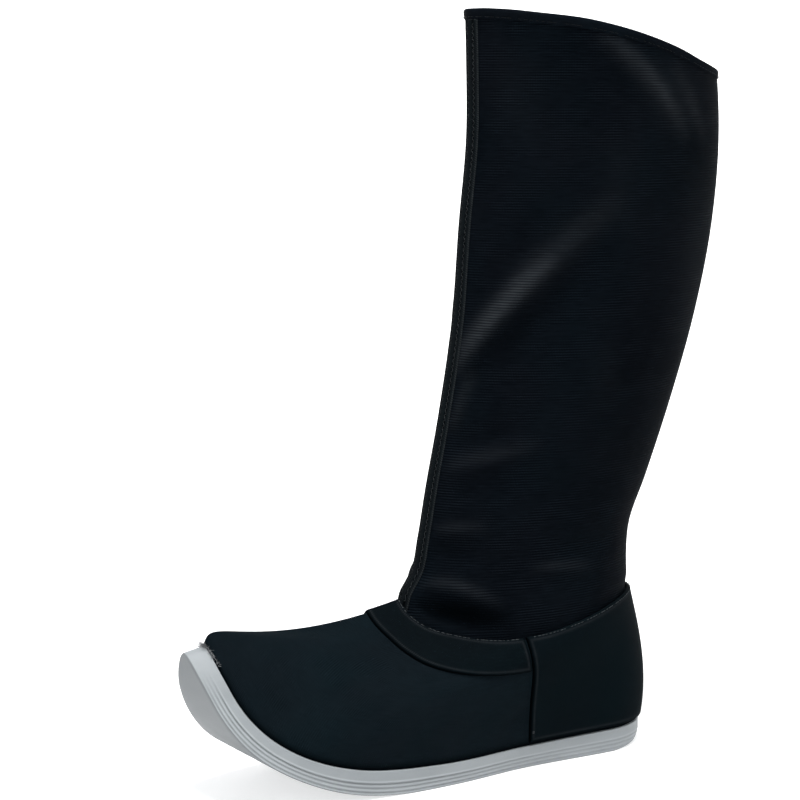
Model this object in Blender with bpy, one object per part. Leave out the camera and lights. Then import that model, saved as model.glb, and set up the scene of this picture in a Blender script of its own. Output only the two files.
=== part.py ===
"""A tall black cloth boot on a light ribbed sole whose toe curls up like a prow.

It stands empty on its sole, and its two sides are alike. Metres, +Z up, +X to the toe, +Y to the
wearer's left. Shapes are worked out from the back of the heel, the floor and the centreline, and
then moved so that the origin lies under the middle of the boot's box.
"""

import math

import bpy
import numpy as np

# Main sizes
FLAT_LENGTH = 0.165  # of the tread on the floor, from the heel's back to where the toe lifts
SOLE_LENGTH = 0.3172  # as cut flat, before the toe is curled
HEEL_ROUND = 0.036  # length of the outline's rounded heel
TOE_ROUND = 0.0235
ORIGIN_X = 0.11385  # from the heel's back to the middle of the boot's box

GAP = 0.0003  # between neighbouring pieces
PANEL_GAP = 0.0004  # under a panel, enough for the flat faces below it to clear it
WALL = 0.0020  # outer cloth, stiffener and lining of the upper together
FEATHER_INSET = 0.0006  # of the upper's foot from the sole's edge
COUNTER_THICK = 0.0014
COUNTER_FRONT = (0.0905, 0.0956)  # from the heel's back to its front edge, at the foot and the top
COUNTER_FOOT = 0.02  # rise of its lower edge
BAND_THICK = 0.0011
BAND_AHEAD = 0.0009  # from the counter's front edge to the band's end
PANEL_TOP = 0.985  # rise of the top edge of the counter and the band, just under the ankle seam
TAPE_THICK = 0.0008
TAPE_WIDTH = 0.0110
TAPE_GAP = 0.0006  # under it, where the shaft bends out to the instep
TAPE_ENDS = (1.005, 1.98)  # rises, from the ankle seam to the collar's binding
BINDING_THICK = 0.0010
BINDING_DEPTH = 0.0042
SHAFT_LENGTH = 0.310  # of its wall, from the ankle seam to the collar
INSOLE_THICK = 0.0030
INSOLE_INSET = 0.0005
INSOLE_LENGTH = 0.290

# Ribs round the sole's side, below a plain band
RIB_COUNT = 3
RIBBED_THICK = 0.0135  # of the sole where the ribs have the sizes given here
RIB_PITCH = 0.0023
GROOVE_WIDTH = 0.0007
GROOVE_DEPTH = 0.0007
TREAD_CHAMFER = 0.0009
HEEL_WEAR = 0.004  # how far in the heel's lower edge is rounded off
WEAR_LENGTH, WEAR_SHARE = 0.030, 0.55  # along the sole, and up its thickness

# How finely the curved pieces are cut into flat faces
AROUND = 56
FOOT_STEPS, FOOT_CROWDING = 17, 1.35  # crowding draws the rings towards the ankle seam
SHAFT_STEPS, SHAFT_CROWDING = 13, 1.7
BAND_STEPS = 5
EDGE_STEPS = 5  # of a panel near its upright edges
SHARED_STEPS = 0.8  # share of a panel's reach over which its columns are the upper's own
SEAM_POINTS = 448  # along the ankle seam, for distances from it
CURL_POINTS = 2001  # along the underside, for where its curl has carried it
HALVINGS = 40  # of a range in which a place is looked for
BAND_ROUNDS = 6  # of closing in on the band's end
SHARP_ANGLE = math.radians(35)


class Table:
    """Rows of named columns, read between the rows by a smooth curve along the first column."""

    def __init__(self, names, rows):
        self.columns = dict(zip(names, np.array(rows, float).T))
        self.where = self.columns[names[0]]

    def at(self, name, where):
        rows, values = self.where, self.columns[name]
        slopes = np.gradient(values, rows)
        where = np.clip(where, rows[0], rows[-1])
        low = np.clip(np.searchsorted(rows, where) - 1, 0, len(rows) - 2)
        span = rows[low + 1] - rows[low]
        t = (where - rows[low]) / span
        ease = t * t * (3 - 2 * t)
        leave, arrive = t * (1 - t) ** 2, t * t * (t - 1)
        bend = (leave * slopes[low] + arrive * slopes[low + 1]) * span
        return values[low] + (values[low + 1] - values[low]) * ease + bend


# The sole as cut flat, from the heel's back to the tip. Both sides are alike.
SOLE_PLAN = Table(
    ("along", "half_width", "thick"),
    (
        (0.000, 0.0295, 0.0130),
        (0.040, 0.0320, 0.0128),
        (0.095, 0.0352, 0.0119),
        (0.140, 0.0433, 0.0121),
        (0.175, 0.0459, 0.0134),
        (0.205, 0.0445, 0.0131),
        (0.235, 0.0392, 0.0120),
        (0.262, 0.0304, 0.0118),
        (0.288, 0.0223, 0.0114),
        (SOLE_LENGTH, 0.0106, 0.0120),
    ),
)

# How far the sole has turned up from the floor, in degrees, along it as cut flat.
CURL = Table(
    ("along", "turn"),
    (
        (FLAT_LENGTH, 0.0),
        (0.195, 8.7),
        (0.220, 20.1),
        (0.245, 31.4),
        (0.270, 51.1),
        (0.295, 69.0),
        (SOLE_LENGTH, 78.4),
    ),
)

# How the foot of the upper leaves the sole and meets the shaft, by the angle round from the toe:
# it sets off to a point that lies by lift square to the sole, higher by raise and further out by
# flare, and comes up to the ankle seam from one that lies below it by drop, ahead of it and out.
FOOT_SHAPE = Table(
    ("angle", "lift", "raise", "flare", "drop", "ahead", "out"),
    (
        (0, 0.000, 0.020, 0.0000, 0.0212, 0.092, 0.000),
        (25, 0.016, 0.008, 0.0010, 0.0095, 0.029, 0.006),
        (50, 0.026, 0.000, 0.0030, 0.014, 0.036, 0.007),
        (75, 0.030, 0.000, 0.0025, 0.017, 0.020, 0.006),
        (100, 0.030, 0.000, 0.0020, 0.020, 0.006, 0.005),
        (140, 0.028, 0.000, 0.0040, 0.024, 0.000, 0.004),
        (180, 0.026, 0.000, 0.0060, 0.026, -0.010, 0.000),
    ),
)

# The shaft's level sections, by their height.
SHAFT = Table(
    ("height", "front_x", "back_x", "half_width"),
    (
        (0.070, 0.1530, 0.0065, 0.0390),
        (0.084, 0.1520, 0.0067, 0.0385),
        (0.094, 0.1493, 0.0068, 0.0380),
        (0.106, 0.1417, 0.0074, 0.0375),
        (0.124, 0.1374, 0.0060, 0.0378),
        (0.150, 0.1326, -0.0048, 0.0390),
        (0.190, 0.1244, -0.0201, 0.0413),
        (0.240, 0.1162, -0.0365, 0.0433),
        (0.290, 0.1121, -0.0476, 0.0443),
        (0.340, 0.1073, -0.0513, 0.0447),
        (0.376, 0.1074, -0.0487, 0.0447),
        (0.404, 0.1081, -0.0440, 0.0447),
    ),
)

# Heights of the shaft's lower edge, the ankle seam, and of its upper edge, the collar, by the
# angle round from the front.
SHAFT_EDGES = Table(
    ("angle", "seam", "collar"),
    (
        (0, 0.0920, 0.4046),
        (12, 0.0855, 0.4046),
        (27, 0.0790, 0.4039),
        (45, 0.0750, 0.4020),
        (65, 0.0725, 0.3993),
        (85, 0.0740, 0.3941),
        (110, 0.0790, 0.3854),
        (130, 0.0835, 0.3778),
        (150, 0.0865, 0.3735),
        (180, 0.0880, 0.3720),
    ),
)

# Width of the ankle band below the ankle seam, by the angle round from the front.
BAND = Table(
    ("angle", "width"),
    (
        (0, 0.0215),
        (20, 0.0214),
        (38, 0.0232),
        (55, 0.0242),
        (72, 0.0224),
        (90, 0.0190),
        (120, 0.0184),
    ),
)
FRONT, BACK = 0.0, math.pi  # angles round the boot, by way of its left side
RIDGE = 1.75  # below 2, the shaft's section comes to a ridge at its front and back seams


def rounded_end(share):
    """Height of a quarter ellipse, from 0 at its tip to 1 where it ends."""
    return np.sqrt(1 - (1 - np.clip(share, 0, 1)) ** 2)


def turn_at(along):
    """How far the sole has turned up from the floor, in radians."""
    return np.radians(CURL.at("turn", along))


def underside():
    """Places along the sole as cut flat, with how far forward and up the curled underside has them."""
    along = np.linspace(0, SOLE_LENGTH, CURL_POINTS)
    turn = turn_at((along[1:] + along[:-1]) / 2)
    forward, up = (np.insert(np.cumsum(way(turn)), 0, 0) * along[1] for way in (np.cos, np.sin))
    return along, forward, up


UNDERSIDE = underside()


def bend(along, across, up):
    """A point of the flat sole, carried to where the curled sole has it."""
    places, forward, rise = UNDERSIDE
    turn = turn_at(along)
    x = np.interp(along, places, forward) - up * np.sin(turn)
    z = np.interp(along, places, rise) + up * np.cos(turn)
    return np.stack([x, across + 0 * x, z], -1)


def outline(angle, inset):
    """Where the sole's edge, moved in by inset, lies on the flat sole: along it and across it."""
    room = SOLE_LENGTH - 2 * inset
    along = inset + room * (1 + np.cos(angle)) / 2
    half = SOLE_PLAN.at("half_width", along) - inset
    half *= rounded_end((along - inset) / HEEL_ROUND)
    half *= rounded_end((SOLE_LENGTH - inset - along) / TOE_ROUND)
    return along, half * np.sign(np.sin(angle))


def sole_edge(angle, inset, share, over=0.0):
    """A point of the sole's edge at a share of its thickness, or over its top by that much."""
    along, across = outline(angle, inset)
    return bend(along, across, SOLE_PLAN.at("thick", along) * share + over)


def turned(angle):
    """How far round from the front an angle lies on either side, in degrees."""
    return np.degrees(np.abs((angle + math.pi) % (2 * math.pi) - math.pi))


def shaft_wall(angle, rise):
    """A point of the shaft between the ankle seam, at rise 0, and the collar, at rise 1."""
    low, high = (SHAFT_EDGES.at(name, turned(angle)) for name in ("seam", "collar"))
    z = low + (high - low) * rise
    front, back, half_width = (SHAFT.at(name, z) for name in ("front_x", "back_x", "half_width"))
    forward = np.sign(np.cos(angle)) * np.sqrt(1 - np.abs(np.sin(angle)) ** RIDGE)
    x = (front + back) / 2 + (front - back) / 2 * forward
    return np.stack([x, half_width * np.sin(angle), z], -1)


def foot_wall(angle, rise):
    """A point of the upper between the sole, at rise 0, and the ankle seam, at rise 1."""
    lift, higher, flare, drop, ahead, out = (
        FOOT_SHAPE.at(name, turned(angle))[..., None]
        for name in ("lift", "raise", "flare", "drop", "ahead", "out")
    )
    along, _ = outline(angle, FEATHER_INSET)
    turn = turn_at(along)
    square = np.stack([-np.sin(turn), 0 * turn, np.cos(turn)], -1)
    outward = np.stack([np.minimum(np.cos(angle), 0), np.sin(angle), 0 * angle], -1)
    foot = sole_edge(angle, FEATHER_INSET, 1.0, GAP)
    seam = shaft_wall(angle, 0 * angle)
    leave = foot + lift * square + higher * np.array([0, 0, 1]) + flare * outward
    arrive = seam + np.concatenate([ahead, out * np.sin(angle)[..., None], -drop], -1)
    t = rise[..., None]
    s = 1 - t
    return s**3 * foot + 3 * s * s * t * leave + 3 * s * t * t * arrive + t**3 * seam


def upper_skin(angle, rise):
    """The upper's outer face: rise 0 at the sole, 1 at the ankle seam, 2 at the collar."""
    angle, rise = np.broadcast_arrays(np.asarray(angle, float), np.asarray(rise, float))
    foot, shaft = foot_wall(angle, np.clip(rise, 0, 1)), shaft_wall(angle, np.clip(rise - 1, 0, 1))
    return np.where((rise <= 1)[..., None], foot, shaft)


def upper_point(angle, rise, offset=0.0):
    """A point that lies offset out from the upper's outer face, or in from it if negative."""
    step = 1e-3
    angle, rise = np.broadcast_arrays(np.asarray(angle, float), np.asarray(rise, float))
    low, high = np.clip(rise - step, 0, 2), np.clip(rise + step, 0, 2)
    along = upper_skin(angle + step, rise) - upper_skin(angle - step, rise)
    normal = np.cross(along, upper_skin(angle, high) - upper_skin(angle, low))
    normal /= np.linalg.norm(normal, axis=-1, keepdims=True)
    return upper_skin(angle, rise) + offset * normal


def solve(low, high, short_of):
    """Halves the way between low and high until short_of, true at low, turns false."""
    for _ in range(HALVINGS):
        middle = (low + high) / 2
        reached = short_of(middle)
        low, high = np.where(reached, middle, low), np.where(reached, high, middle)
    return (low + high) / 2


def counter_edge(rise, ahead=0.0):
    """The angle of the counter's front edge on the left, or of a line that far ahead of it."""
    rise = np.asarray(rise, float)
    low, high = COUNTER_FRONT
    x = low + (high - low) * rise + ahead
    return solve(
        np.full(rise.shape, FRONT), np.full(rise.shape, BACK),
        lambda angle: upper_skin(angle, rise)[..., 0] > x,
    )


def rise_below_seam(angle, distance):
    """How far up the foot's wall points lie these distances below the ankle seam."""
    seam = upper_skin(np.linspace(-math.pi, math.pi, SEAM_POINTS), 1.0)

    def far_enough(rise):
        points = upper_skin(angle, rise)
        gaps = np.linalg.norm(points[:, None, :] - seam[None, :, :], axis=-1)
        return gaps.min(axis=1) > distance

    return solve(np.zeros(len(angle)), np.ones(len(angle)), far_enough)


def clear_scene():
    for obj in list(bpy.data.objects):
        bpy.data.objects.remove(obj)


def material(name, colour, roughness):
    made = bpy.data.materials.new(name)
    made.use_nodes = True
    shader = made.node_tree.nodes["Principled BSDF"]
    shader.inputs["Base Color"].default_value = (*colour, 1.0)
    shader.inputs["Roughness"].default_value = roughness
    shader.inputs["Metallic"].default_value = 0.0
    return made


def add_object(name, points, faces, finish):
    mesh = bpy.data.meshes.new(name)
    mesh.from_pydata((points - np.array([ORIGIN_X, 0, 0])).tolist(), [], faces)
    mesh.validate()
    mesh.shade_smooth()
    mesh.set_sharp_from_angle(angle=SHARP_ANGLE)
    mesh.materials.append(finish)
    made = bpy.data.objects.new(name, mesh)
    bpy.context.scene.collection.objects.link(made)
    return made


def grid_faces(rows, columns, first, closed, flipped=False):
    """Four-sided faces of a grid of points, whose columns may close on themselves."""
    faces = []
    for row in range(rows - 1):
        for column in range(columns if closed else columns - 1):
            after = (column + 1) % columns
            face = [row * columns + column, row * columns + after,
                    (row + 1) * columns + after, (row + 1) * columns + column]
            face = [first + corner for corner in face]
            faces.append(face[::-1] if flipped else face)
    return faces


def ring_solid(name, rings, finish):
    """A tube whose rings run round its section and back to the first, as round a U or a wall."""
    rows, columns = rings.shape[:2]
    faces = grid_faces(rows, columns, 0, closed=True)
    last = (rows - 1) * columns
    for column in range(columns):
        after = (column + 1) % columns
        faces.append([last + column, last + after, after, column])
    return add_object(name, rings.reshape(-1, 3), faces, finish)


def capped_solid(name, rings, finish):
    """A stack of rings, closed below and above by a strip of faces from its toe to its heel."""
    rows, columns = rings.shape[:2]
    faces = grid_faces(rows, columns, 0, closed=True)
    for first, flipped in ((0, True), ((rows - 1) * columns, False)):
        for left in range(columns // 2 - 1):
            right = columns - 1 - left
            face = [first + corner for corner in (left, left + 1, right - 1, right)]
            faces.append(face[::-1] if flipped else face)
    return add_object(name, rings.reshape(-1, 3), faces, finish)


def patch_solid(name, outer, inner, finish):
    """A plate between two grids of points that face each other, closed along its four edges."""
    rows, columns = outer.shape[:2]
    count = rows * columns
    faces = grid_faces(rows, columns, 0, closed=False)
    faces += grid_faces(rows, columns, count, closed=False, flipped=True)
    border = list(range(columns))
    border += [row * columns + columns - 1 for row in range(1, rows)]
    border += [(rows - 1) * columns + column for column in range(columns - 2, -1, -1)]
    border += [row * columns for row in range(rows - 2, 0, -1)]
    for here, after in zip(border, border[1:] + border[:1]):
        faces.append([after, here, count + here, count + after])
    points = np.concatenate([outer.reshape(-1, 3), inner.reshape(-1, 3)])
    return add_object(name, points, faces, finish)


def half_step_angles(count):
    """Angles round the boot that fall evenly on both sides of its front and back."""
    return (np.arange(count) + 0.5) * 2 * math.pi / count


def rib_profile():
    """Share of the thickness and inset of the sole's side: a chamfer, ribs, then a plain band."""
    edge = GROOVE_DEPTH / 2
    profile = [(0.0, TREAD_CHAMFER + edge), (TREAD_CHAMFER / RIBBED_THICK, edge)]
    for rib in range(1, RIB_COUNT + 1):
        groove = rib * RIB_PITCH
        profile += [
            ((groove - GROOVE_WIDTH) / RIBBED_THICK, edge),
            ((groove - GROOVE_WIDTH * 2 / 3) / RIBBED_THICK, GROOVE_DEPTH),
            ((groove - GROOVE_WIDTH / 3) / RIBBED_THICK, GROOVE_DEPTH),
            (groove / RIBBED_THICK, 0.0 if rib == RIB_COUNT else edge),
        ]
    return profile + [(1.0, 0.0)]


def heel_wear(angle, share):
    """How far in the sole's edge lies where the heel is rounded off."""
    along, _ = outline(angle, 0.0)
    near = np.clip(1 - along / WEAR_LENGTH, 0, 1)
    return HEEL_WEAR * near * (1 - rounded_end(share / WEAR_SHARE))


def build_sole(finish):
    angles = half_step_angles(AROUND)
    rings = [
        sole_edge(angles, inset + heel_wear(angles, share), share)
        for share, inset in rib_profile()
    ]
    return capped_solid("sole", np.array(rings), finish)


def build_insole(finish):
    angles = half_step_angles(AROUND)
    along, across = outline(angles, FEATHER_INSET + WALL + INSOLE_INSET)
    along = np.minimum(along, INSOLE_LENGTH)
    base = SOLE_PLAN.at("thick", along) + GAP
    rings = np.array([bend(along, across, base + level) for level in (0.0, INSOLE_THICK)])
    return capped_solid("insole", rings, finish)


def wall_rises():
    """Rises of the upper's rings, closer together near the ankle seam, where the instep hollows."""
    foot = 1 - np.linspace(1, 0, FOOT_STEPS + 1) ** FOOT_CROWDING
    shaft = 1 + np.linspace(0, 1, SHAFT_STEPS + 1) ** SHAFT_CROWDING
    return np.concatenate([foot, shaft[1:]])


def build_upper(finish):
    """The hollow wall: up its outer face to the collar and, with fewer rings, down its lining."""
    angles = half_step_angles(AROUND)
    rises = wall_rises()
    outer = [upper_point(angles, rise) for rise in rises]
    lining = np.concatenate([rises[:-2:2], [2 - BINDING_DEPTH / SHAFT_LENGTH, 2]])
    inner = [upper_point(angles, rise, -WALL) for rise in lining[::-1]]
    return ring_solid("upper", np.array(outer + inner), finish)


def overlay(name, places, thick, finish, gap=PANEL_GAP):
    """A panel that lies on the upper, over a grid of angles and rises."""
    angle, rise = places[..., 0], places[..., 1]
    outer = upper_point(angle, rise, gap + thick)
    return patch_solid(name, outer, upper_point(angle, rise, gap), finish)


def columns_to(edge, around, shared):
    """Angles on both sides of one, at the upper's own steps and then evenly out to an edge."""
    steps = half_step_angles(AROUND)[: AROUND // 2]
    steps = steps[steps < shared]
    side = np.concatenate([steps, np.linspace(steps[-1], edge, EDGE_STEPS + 1)[1:]])
    return around + np.concatenate([-side[::-1], side])


def build_counter(finish):
    rises = wall_rises()[:FOOT_STEPS]
    rises[0], rises[-1] = COUNTER_FOOT, PANEL_TOP
    edges = BACK - counter_edge(rises)
    rows = []
    for edge, rise in zip(edges, rises):
        angles = columns_to(edge, BACK, min(edges) * SHARED_STEPS)
        rows.append(np.stack([angles, np.full(len(angles), rise)], -1))
    return overlay("counter", np.array(rows), COUNTER_THICK, finish)


def band_rises(angle, share):
    """Rises at a share of the way up the ankle band."""
    lower = rise_below_seam(angle, BAND.at("width", turned(angle)))
    return lower + (PANEL_TOP - lower) * share


def band_end(share):
    """The angle where the band meets the counter's front edge, closed in on step by step."""
    end = np.array([math.pi / 2])
    for _ in range(BAND_ROUNDS):
        end = counter_edge(band_rises(end, share), BAND_AHEAD)
    return end[0]


def build_ankle_band(finish):
    """A strip below the ankle seam, from the counter's front edge on one side to the other's."""
    shares = np.linspace(0, 1, BAND_STEPS + 1)
    ends = [band_end(share) for share in shares]
    rows = []
    for share, end in zip(shares, ends):
        angles = columns_to(end, FRONT, min(ends) * SHARED_STEPS)
        rows.append(np.stack([angles, band_rises(angles, share)], -1))
    return overlay("ankle_band", np.array(rows), BAND_THICK, finish)


def build_front_tape(finish):
    """A narrow strip up the shaft's front, with its middle columns over the upper's own."""
    column = math.pi / AROUND
    rises = wall_rises()[FOOT_STEPS:]
    rises[0], rises[-1] = TAPE_ENDS
    rows = []
    for rise in rises:
        half = column * TAPE_WIDTH / 2 / upper_skin(column, rise)[1]
        rows.append(np.stack([np.array([-half, -column, column, half]), np.full(4, rise)], -1))
    return overlay("front_seam_tape", np.array(rows), TAPE_THICK, finish, TAPE_GAP)


def build_collar_binding(finish):
    """A strip folded over the collar's edge: down its outside, over the top and down its inside."""
    angles = half_step_angles(AROUND)
    foot = 2 - BINDING_DEPTH / SHAFT_LENGTH
    out, inside = GAP + BINDING_THICK, -WALL - GAP - BINDING_THICK
    section = (  # rise, offset and lift of each corner
        (foot, out, 0.0),
        ((foot + 2) / 2, out, 0.0),
        (2, out, 0.0),
        (2, 0.0, out),
        (2, -WALL, out),
        (2, inside, 0.0),
        (foot, inside, 0.0),
        (foot, -WALL - GAP, 0.0),
        (2, -WALL - GAP, GAP),
        (2, GAP, GAP),
        (foot, GAP, 0.0),
    )
    rings = [upper_point(angles, rise, offset) + [0, 0, lift] for rise, offset, lift in section]
    return ring_solid("collar_binding", np.array(rings), finish)


def main():
    clear_scene()
    black_shaft = material("black_shaft_cloth", (0.010, 0.012, 0.015), 0.85)
    black_twill = material("black_twill", (0.014, 0.018, 0.022), 0.85)
    binding = material("black_binding", (0.008, 0.009, 0.011), 0.8)
    foam = material("light_grey_foam", (0.55, 0.57, 0.58), 0.6)
    lining = material("grey_lining", (0.30, 0.30, 0.29), 0.9)
    build_sole(foam)
    build_insole(lining)
    build_upper(black_shaft)
    build_counter(black_twill)
    build_ankle_band(black_twill)
    build_front_tape(black_twill)
    build_collar_binding(binding)


main()
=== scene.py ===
"""The looks of a tall black cloth boot on a light ribbed sole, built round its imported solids.

Metres, +Z up, +X to the toe, +Y to the wearer's left. As in the part's source, shapes are worked
out from the back of the heel, the floor and the centreline, and then moved by ORIGIN_X.
"""

import math
from collections import namedtuple

import bpy
import numpy as np
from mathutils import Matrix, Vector


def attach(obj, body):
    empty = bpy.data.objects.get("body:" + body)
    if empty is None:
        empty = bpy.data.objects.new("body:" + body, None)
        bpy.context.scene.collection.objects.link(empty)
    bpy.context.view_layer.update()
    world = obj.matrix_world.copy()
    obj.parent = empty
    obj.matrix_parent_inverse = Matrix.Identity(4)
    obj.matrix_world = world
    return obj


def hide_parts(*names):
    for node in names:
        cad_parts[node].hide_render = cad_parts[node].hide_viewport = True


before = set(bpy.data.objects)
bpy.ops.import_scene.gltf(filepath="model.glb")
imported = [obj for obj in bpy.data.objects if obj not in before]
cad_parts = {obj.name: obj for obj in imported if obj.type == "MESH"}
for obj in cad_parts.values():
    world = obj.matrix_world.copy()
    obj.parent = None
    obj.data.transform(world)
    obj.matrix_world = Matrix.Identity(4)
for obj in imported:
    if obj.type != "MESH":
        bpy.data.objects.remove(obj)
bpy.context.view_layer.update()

# Main sizes, the same as in the part's source
FLAT_LENGTH = 0.165  # of the tread, from the heel's back to where the toe lifts
SOLE_LENGTH = 0.3172  # as cut flat, before the toe is curled
HEEL_ROUND = 0.036
TOE_ROUND = 0.0235
ORIGIN_X = 0.11385  # from the heel's back to the middle of the boot's box
GAP = 0.0003
PANEL_GAP = 0.0004
WALL = 0.0020
FEATHER_INSET = 0.0006
COUNTER_THICK = 0.0014
COUNTER_FRONT = (0.0905, 0.0956)  # of its edge from the heel's back, at the foot and the top
COUNTER_FOOT = 0.02  # rise of its lower edge
BAND_THICK = 0.0011
BAND_AHEAD = 0.0009  # from the counter's front edge to the band's end
TAPE_THICK = 0.0008
TAPE_WIDTH = 0.0110
TAPE_ENDS = (1.005, 1.98)
BINDING_DEPTH = 0.0042
SHAFT_LENGTH = 0.310
INSOLE_THICK = 0.0030
INSOLE_INSET = 0.0005
INSOLE_LENGTH = 0.290
RIB_COUNT = 3
RIBBED_THICK = 0.0135
RIB_PITCH = 0.0023
GROOVE_WIDTH = 0.0007
GROOVE_DEPTH = 0.0007
HEEL_WEAR = 0.004  # how far in the heel's lower edge is rounded off
WEAR_LENGTH, WEAR_SHARE = 0.030, 0.55  # along the sole, and up its thickness
RIDGE = 1.75  # below 2, the shaft has a ridge at its front and back seams
FRONT, BACK = 0.0, math.pi
SEAM_POINTS, CURL_POINTS = 448, 2001
HALVINGS = 40
BAND_ROUNDS = 6

# Sizes of what is only seen
COLUMNS = 288  # of the cloth, from the back round by way of the front
RING = -math.pi + (np.arange(COLUMNS) + 0.5) * 2 * math.pi / COLUMNS  # their angles
SHAFT_ROWS, VAMP_ROWS, LINING_ROWS = 216, 64, 30
CLOTH_THICK = 0.0009
TUCK_DEPTH = 0.0009  # of the shaft's cloth where it goes in behind the panels
TUCK_HEIGHT = 0.035  # share of the shaft over which it comes out again
VAMP_TOP = 0.972
RIM = 0.0011  # of the panels' rolled edges
RIM_FOOT = 0.00015  # height of their foot
PANEL_TOP = 0.996  # rise of the top edge of the counter and the band
HIGHLIGHT_PLACE, HIGHLIGHT_REACH = 0.0021, 0.0006  # of a panel's painted highlight line, in from its edge
SHADE_REACH = 0.0010  # of the painted shade along a panel's lower and side edges
FOOT_SHADE = 0.030  # rise up to which the vamp has painted shade along the sole
EDGE_ZONE, EDGE_STEPS = 0.0032, 12  # finer rows and columns along a panel's edges
COUNTER_HEIGHT, COUNTER_LENGTH = 0.066, 0.230  # along its middle
BAND_HEIGHT, BAND_LENGTH = 0.021, 0.205
BAND_POINTS = 400  # along its lower edge
BAND_REACH = math.radians(120)  # that it stays within
COUNTER_GRID, BAND_GRID, TAPE_GRID = (48, 150), (16, 150), (200, 22)  # steps up and across
SHAFT_FOOT = 0.955  # rise of the shaft cloth's edge behind the panels
SEEN_TAPE_ENDS = (0.975, 1.986)  # it goes in behind the band and up to the binding
LINING_FOOT = 0.03
LINING_THICK = 0.0004
BINDING_RISE = 0.0013  # of its rounded top over the collar
BINDING_OUT = 0.0008  # of its pressed face from the wall
BINDING_LIP = 0.15  # share of its swell that its lower edge has
BINDING_STEPS = (6, 15)  # of its legs, and of its rounded top
SOLE_ROWS = 72
TREAD_ROUND = 0.0012
CREST_HALF = 0.00045  # of the light line along each rib
TREAD_ROWS = 4  # of its lower edge that are as dark as its tread
FEATHER_ROUND = 0.0005
RIB_FADE = (0.008, 0.030)  # from the tip, where ribs begin and where they are full
RIB_WORN, RIB_LOSS = (0.06, 0.16), 0.5  # from the heel, where worn and where full, and how much
INSOLE_ROUND, INSOLE_STEPS = 0.0012, 7  # of its upper edge
CAP_STEPS = 14
THREAD = 0.00042
STITCH_LENGTH, STITCH_PITCH = 0.0023, 0.0031
STITCH_SHAPE = ((0.4, -0.6), (0.9, 0.1), (1.0, 0.4), (0.9, 0.1), (0.4, -0.6))  # size and lift
STITCH_SIDES = 6
STITCH_SPREAD, STITCH_LOST, STITCH_SEED = 0.45, 0.18, 3  # of lengths, and share not seen
TAPE_STITCH = 0.0026  # from the tape's middle
TAPE_GROOVE, TAPE_SINK = 0.00075, 0.00045  # half width and depth where the tape is sewn down
ZIGZAG_REACH, ZIGZAG_STEP = 0.0007, 0.0016  # of the thread that crosses that line
BACK_STITCH, BACK_ENDS = 0.0018, (1.02, 1.985)  # from the back seam, and their rises
BINDING_STITCH = 0.0032  # below the collar
PANEL_STITCH = 0.0008  # below the panels' top edges
TOP_LENGTH, TOP_PITCH, TOP_SPAN = 0.0017, 0.0024, 0.995  # of those, and share of the edge they run
TAPE_POINTS, COLLAR_POINTS, PANEL_POINTS, BAR_POINTS = 400, 900, 600, 20  # along rows of stitches
BAR_RISE, BAR_ROWS = 0.090, (-0.005, 0.005)  # of the sewn bar behind the counter's front edge
BAR_LENGTH, BAR_PITCH, BAR_THICK = 0.0026, 0.0010, 0.0006
BAR_REACH = (0.2, 2.0)  # degrees behind that edge
FRAY_SEED, FRAY_COUNT, FRAY_STEPS = 7, 220, 5
FRAY_ANGLE = 20  # degrees round from the toe
FRAY_CROWD, FRAY_GROW = 1.6, 1.0  # how far ends crowd, and grow, to the toe's tip
FRAY_RISE, FRAY_LENGTH, FRAY_THICK = (0.0, 0.030), (0.0009, 0.0026), 0.00024
FRAY_LEAN = ((-0.9, 0.9), (0.3, 1.0), (-0.5, 0.5), (-0.5, 0.6))  # aside, out, curl and down
FRAY_TIP = 0.3  # share of a yarn's thickness at its end
DOWN_STEP = 0.05  # of rise, to find the way down to the sole
NORMAL_STEP = 1e-3  # of angle and rise, to find the way out of the cloth
SHARP_ANGLE = math.radians(40)

# Surfaces. Sizes are of grains along and across the cloth; ranges are of noise and what it gives.
SHAFT_COLOURS = (0.0007, 0.0012, 0.002), (0.0046, 0.0064, 0.0089)  # dark and light
TWILL_COLOURS = (0.0014, 0.0028, 0.004), (0.0058, 0.0092, 0.0118)
BAND_COLOURS = (0.0009, 0.0017, 0.0023), (0.0031, 0.0053, 0.0066)
COUNTER_COLOURS = (0.0013, 0.0026, 0.0035), (0.0028, 0.005, 0.0064)
TAPE_COLOURS = (0.0013, 0.002, 0.0026), (0.0058, 0.0076, 0.0087)
# Colours of the painted highlights on the cloth, and of its painted shade
SHAFT_HIGHLIGHT, TAPE_HIGHLIGHT = (0.022, 0.025, 0.028), (0.02, 0.0228, 0.0246)
CLOTH_HIGHLIGHT = (0.0125, 0.0145, 0.0165)
SHADE_COLOUR = (0.0002, 0.0007, 0.0011)
TWILL_TURN = 14  # degrees from level, of the way across its ribs
# A weave's colour after its bump is that of its painted highlights, if any
Weave = namedtuple(
    "Weave", "dark light turn pitch bump worn contrast base dotted level",
    defaults=(None, 0.8, 0.11, 0.6, False),
)
CLOTHS = {
    "shaft_cloth_black": Weave(*SHAFT_COLOURS, 90, 0.0014, 0.4, SHAFT_HIGHLIGHT, 1.8, 0.27, level=True),
    "vamp_twill": Weave(*TWILL_COLOURS, TWILL_TURN, 0.0012, 0.4, CLOTH_HIGHLIGHT, 1.5, dotted=0.9),
    "band_twill": Weave(*BAND_COLOURS, TWILL_TURN, 0.0011, 0.4, CLOTH_HIGHLIGHT, dotted=0.9),
    "counter_cloth": Weave(*COUNTER_COLOURS, TWILL_TURN, 0.0006, 0.12, CLOTH_HIGHLIGHT),
    "tape_cloth": Weave(*TAPE_COLOURS, 90, 0.0012, 0.5, TAPE_HIGHLIGHT),
    "binding_cloth": Weave(*SHAFT_COLOURS, 0, 0.0008, 0.3),
}
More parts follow.
